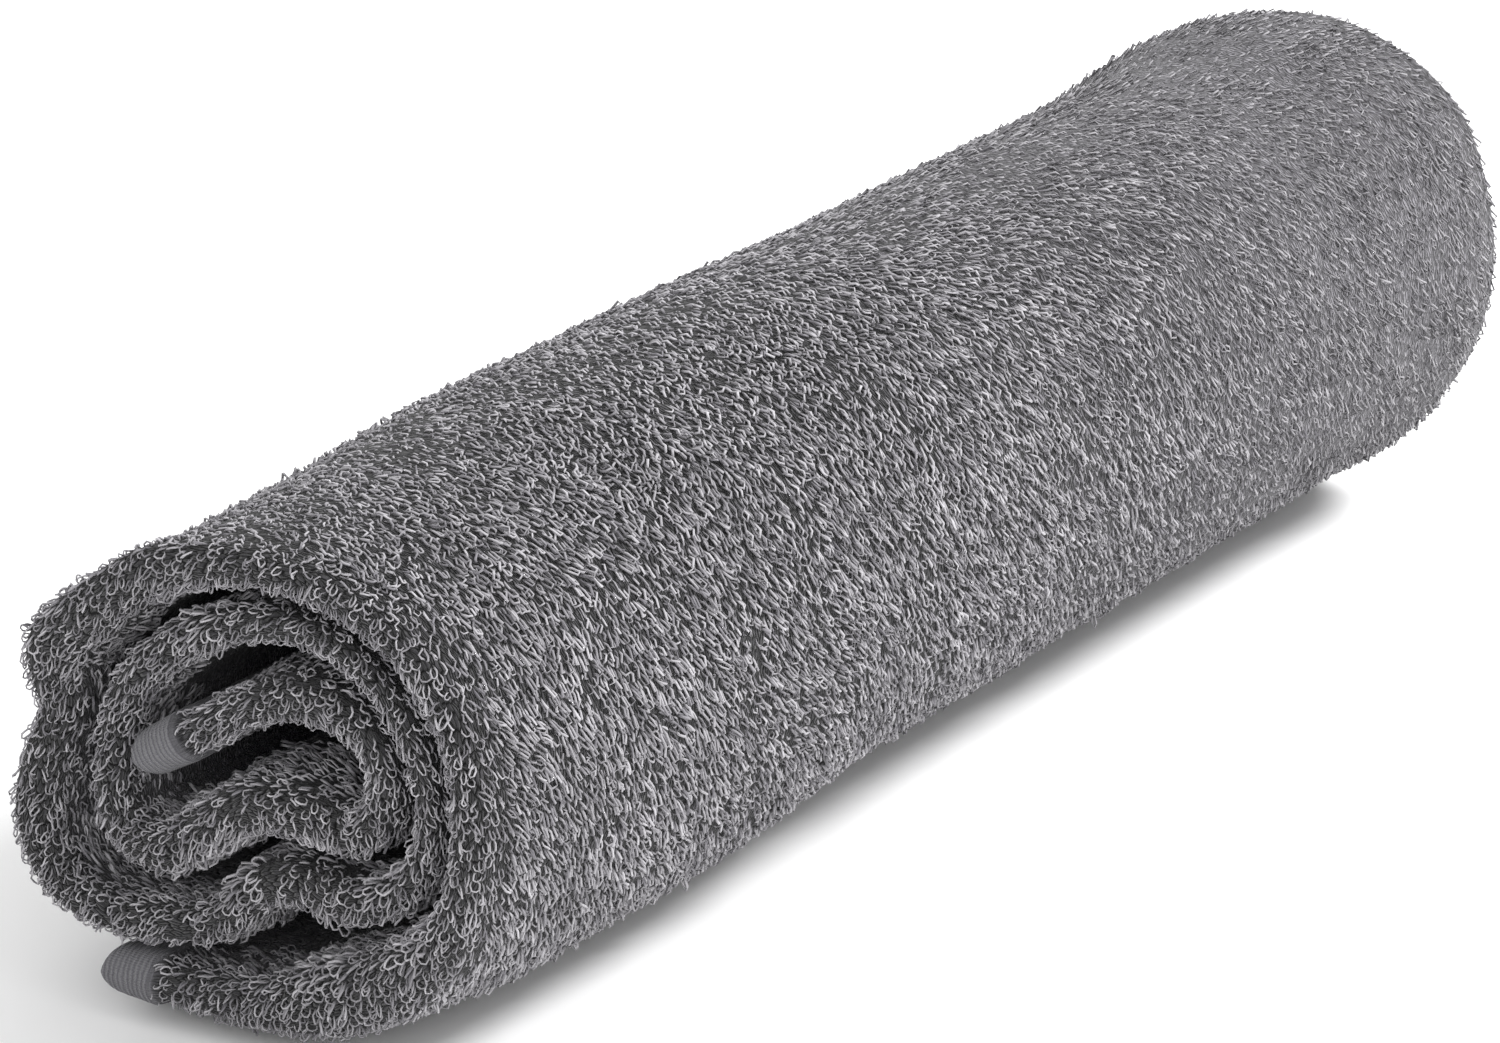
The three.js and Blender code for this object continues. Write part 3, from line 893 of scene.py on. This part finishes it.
def makeWeave():  # the ground weave under the pile, tight, with shade painted into its colour, and the paler ribbed weave of the hems
    material = bpy.data.materials.new("plain woven cotton ground")
    material.use_nodes = True
    tree = material.node_tree
    tree.nodes.clear()
    onCloth = addNode(tree, "ShaderNodeUVMap", {"uv_map": "cloth"})
    woven = addNode(tree, "ShaderNodeAttribute", {"attribute_name": "flatWoven"})
    ribs = addNode(
        tree, "ShaderNodeTexWave", {"bands_direction": "Y"},
        {
            "Vector": onCloth.outputs[0], "Distortion": 2.5, "Detail": 2.0,
            "Scale": weaveLook["oneBand"] / (groundCloth["ribPitch"] * mm),
        },
    )
    warp = addNode(
        tree, "ShaderNodeTexWave", {"bands_direction": "X"},
        {
            "Vector": onCloth.outputs[0], "Distortion": 2.0, "Detail": 1.0,
            "Scale": weaveLook["oneBand"] / (weaveLook["warpPitch"] * mm),
        },
    )
    weave = addNode(
        tree, "ShaderNodeMix", {"data_type": "FLOAT"},
        {0: 0.22, 2: ribs.outputs["Fac"], 3: warp.outputs["Fac"]},
    )
    wander = addNode(
        tree, "ShaderNodeTexNoise", None,
        {"Vector": onCloth.outputs[0], "Scale": 1 / (weaveLook["wanderSize"] * mm), "Detail": 1.0},
    )
    wanderBy = weaveLook["wanderBy"] * mm
    bent = addNode(
        tree, "ShaderNodeVectorMath", {"operation": "MULTIPLY_ADD"},
        {0: wander.outputs["Color"], 1: (wanderBy, wanderBy, 0), 2: onCloth.outputs[0]},
    )
    strandWide, strandLong = weaveLook["strand"]
    drawn = addNode(
        tree, "ShaderNodeMapping", None,
        {"Vector": bent.outputs[0], "Scale": (1 / (strandWide * mm), 1 / (strandLong * mm), 1)},
    )
    edges, cells = (
        addNode(
            tree, "ShaderNodeTexVoronoi", {"voronoi_dimensions": "2D", "feature": feature},
            {"Vector": drawn.outputs[0], "Scale": 1.0},
        )
        for feature in ("DISTANCE_TO_EDGE", "F1")
    )
    lowPile = addNode(
        tree, "ShaderNodeMapRange", {"interpolation_type": "SMOOTHSTEP"},
        {"Value": edges.outputs["Distance"], "From Min": 0.02, "From Max": 0.34},
    )
    relief = addNode(
        tree, "ShaderNodeMix", {"data_type": "FLOAT"},
        {0: woven.outputs["Fac"], 2: lowPile.outputs[0], 3: weave.outputs[0]},
    )
    bump = addNode(
        tree, "ShaderNodeBump", None,
        {"Height": relief.outputs[0], "Strength": 1.0, "Distance": weaveLook["relief"] * mm},
    )
    shadeEasing = addNode(tree, "ShaderNodeAttribute", {"attribute_name": "shadeEasing"})
    deepShade = addNode(
        tree, "ShaderNodeMapRange", None,
        {
            "Value": shadeEasing.outputs["Fac"], "To Min": weaveLook["deepShade"][0],
            "To Max": weaveLook["deepShade"][1],
        },
    )
    lowest = addNode(
        tree, "ShaderNodeMapRange", None,
        {"Value": woven.outputs["Fac"], "To Min": deepShade.outputs[0], "To Max": weaveLook["hemShade"]},
    )
    # Painted shade: darker between the strands and in the low parts of the weave
    tint = addNode(
        tree, "ShaderNodeMapRange", None, {"Value": relief.outputs[0], "To Min": lowest.outputs[0]},
    )
    # Painted shade: the weave's colour darkens where the painted shade is full
    pileBase = addNode(
        tree, "ShaderNodeMix", {"data_type": "RGBA"},
        {
            0: shadeEasing.outputs["Fac"], 6: hexColor(weaveLook["deepShadeColor"]),
            7: hexColor(weaveLook["easedShadeColor"]),
        },
    )
    base = addNode(
        tree, "ShaderNodeMix", {"data_type": "RGBA"},
        {0: woven.outputs["Fac"], 6: pileBase.outputs[2], 7: hexColor(weaveLook["hemColor"])},
    )
    strandTone = addNode(
        tree, "ShaderNodeMapRange", None, {"Value": cells.outputs["Color"], "To Min": 0.6, "To Max": 1.2},
    )
    evenTone = addNode(
        tree, "ShaderNodeMix", {"data_type": "FLOAT"},
        {0: woven.outputs["Fac"], 2: strandTone.outputs[0], 3: 1.0},
    )
    shade = addNode(
        tree, "ShaderNodeMath", {"operation": "MULTIPLY"}, {0: tint.outputs[0], 1: evenTone.outputs[0]},
    )
    colour = addNode(
        tree, "ShaderNodeMix", {"data_type": "RGBA", "blend_type": "MULTIPLY"},
        {0: 1.0, 6: base.outputs[2], 7: shade.outputs[0]},
    )
    cotton = addNode(
        tree, "ShaderNodeBsdfPrincipled", None,
        {
            "Base Color": colour.outputs[2], "Normal": bump.outputs[0], "Roughness": 0.95,
            "Specular IOR Level": 0.15, "Sheen Weight": 0.2, "Sheen Roughness": 0.5,
        },
    )
    addNode(tree, "ShaderNodeOutputMaterial", None, {"Surface": cotton.outputs[0]})
    return material


yarn = makeYarn()
weave = makeWeave()
cloth.data.materials.append(weave)
pileTree = makePileTree()
forms = {kind: makeForms(kind) for kind in loopKinds}

nearRoots = pileRoots["near"]
ridge = np.abs(nearRoots["v"]) < pile["ridgeWidth"]
pileRoots["nearRidge"], pileRoots["nearGap"] = only(nearRoots, ridge), only(nearRoots, ~ridge)
growth = [  # name, roots, from and to along the roll, kind of loop, size, roll in radians either way, seed
    ("front_loops_1", "front", -rollLength, -100, "fine", 1.06, 1.1, 20),
    ("front_loops_2", "front", -100, -30, "plain", 1.06, 1.1, 21),
    ("front_loops_3", "front", -30, pile["frontTo"], "plain", 1.06, 1.1, 22),
    ("front_loops_4", "farFront", pile["frontTo"], 115, "plain", 1.06, 1.1, 23),
    ("front_loops_5", "farFront", 115, rollLength, "far", 1.08, 1.1, 24),
    ("back_loops_1", "back", -rollLength, 0, "far", 1.2, 1.1, 25),
    ("back_loops_2", "back", 0, rollLength, "far", 1.2, 1.1, 26),
    ("near_end_loops", "nearRidge", -rollLength, rollLength, "end", 0.88, 0.55, 50),
    ("near_gap_loops", "nearGap", -rollLength, rollLength, "plain", 1.05, 0.9, 51),
    ("far_end_loops", "far", -rollLength, rollLength, "far", 0.92, 0.7, 60),
]
pieces = []
for name, source, start, stop, kind, size, rollSpread, seed in growth:
    x = pileRoots[source]["point"][:, 0]
    kept = only(pileRoots[source], (x >= start) & (x < stop))
    pieces.append(growLoops(name, kept, forms[kind], size, rollSpread, seed))
total = 0
for piece in pieces:
    triangles = sum(polygon.loop_total - 2 for polygon in piece.data.polygons)
    total += triangles
    print(piece.name, triangles, "triangles")
print("all loops:", total, "triangles")

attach(cloth, "root")
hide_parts("towel_roll")
for piece in pieces:
    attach(piece, "root")


# Floor, light and camera

studio = {
    "floorSize": 8.0,
    "floorColor": "#fcfcfc",
    "skyColor": "#ffffff",
    "skyStrength": 0.97,
    "keyPlace": (0.62, -0.6, 0.8),
    "keyAim": (0.12, 0, 0.05),
    "keySize": 0.36,
    "keyWatts": 14.6,
    "fillPlace": (-1.1, -0.62, 0.35),
    "fillSize": 0.9,
    "fillWatts": 3.3,
}
view = {
    "azimuth": -56.35,
    "elevation": 21.0,
    "distance": 1.786,
    "target": (-0.0075, 0, 0.0485),
    "aside": -0.00764,  # how far right of the target, and above it, the picture's centre lies
    "above": -0.00303,
    "lens": 227.7,
    "sensor": 36,
}


def makeStudio():
    half = studio["floorSize"] / 2
    mesh = bpy.data.meshes.new("floor")
    corners = [(-half, -half, 0), (half, -half, 0), (half, half, 0), (-half, half, 0)]
    mesh.from_pydata(corners, [], [(0, 1, 2, 3)])
    floor = newPiece("floor", mesh)
    paint = bpy.data.materials.new("matt white board")  # even, with only a faint shine
    paint.use_nodes = True
    shader = paint.node_tree.nodes["Principled BSDF"]
    shader.inputs["Base Color"].default_value = hexColor(studio["floorColor"])
    shader.inputs["Roughness"].default_value = 0.9
    shader.inputs["Specular IOR Level"].default_value = 0.1
    mesh.materials.append(paint)
    world = bpy.data.worlds.new("white room")
    world.use_nodes = True
    sky = world.node_tree.nodes["Background"]
    sky.inputs["Color"].default_value = hexColor(studio["skyColor"])
    sky.inputs["Strength"].default_value = studio["skyStrength"]
    bpy.context.scene.world = world
    for name in ("key", "fill"):
        lamp = bpy.data.lights.new(name + " softbox", "AREA")
        lamp.shape, lamp.size, lamp.energy = "DISK", studio[name + "Size"], studio[name + "Watts"]
        softbox = bpy.data.objects.new(name + " softbox", lamp)
        softbox.location = studio[name + "Place"]
        aim = Vector(studio["keyAim"]) - Vector(studio[name + "Place"])
        softbox.rotation_euler = aim.to_track_quat("-Z", "Y").to_euler()
        bpy.context.scene.collection.objects.link(softbox)


def makeCamera():
    a, e = math.radians(view["azimuth"]), math.radians(view["elevation"])
    back = Vector((math.sin(a) * math.cos(e), -math.cos(a) * math.cos(e), math.sin(e)))
    right = Vector((math.cos(a), math.sin(a), 0))
    up = back.cross(right)
    place = Vector(view["target"]) + back * view["distance"]
    aim = Vector(view["target"]) + right * view["aside"] + up * view["above"]
    z = (place - aim).normalized()
    x = up.cross(z).normalized()
    turn = Matrix((x, z.cross(x), z)).transposed().to_4x4()
    lens = bpy.data.cameras.new("camera")
    lens.lens, lens.sensor_width = view["lens"], view["sensor"]
    lens.clip_start, lens.clip_end = 0.05, 50
    camera = bpy.data.objects.new("camera", lens)
    camera.matrix_world = Matrix.Translation(place) @ turn
    bpy.context.scene.collection.objects.link(camera)
    bpy.context.scene.camera = camera


makeStudio()
makeCamera()
bpy.context.scene.view_settings.view_transform = "Standard"
for kind in forms.values():
    for form in list(kind.objects):
        bpy.data.objects.remove(form)
    bpy.data.collections.remove(kind)
print("studio and camera ready")
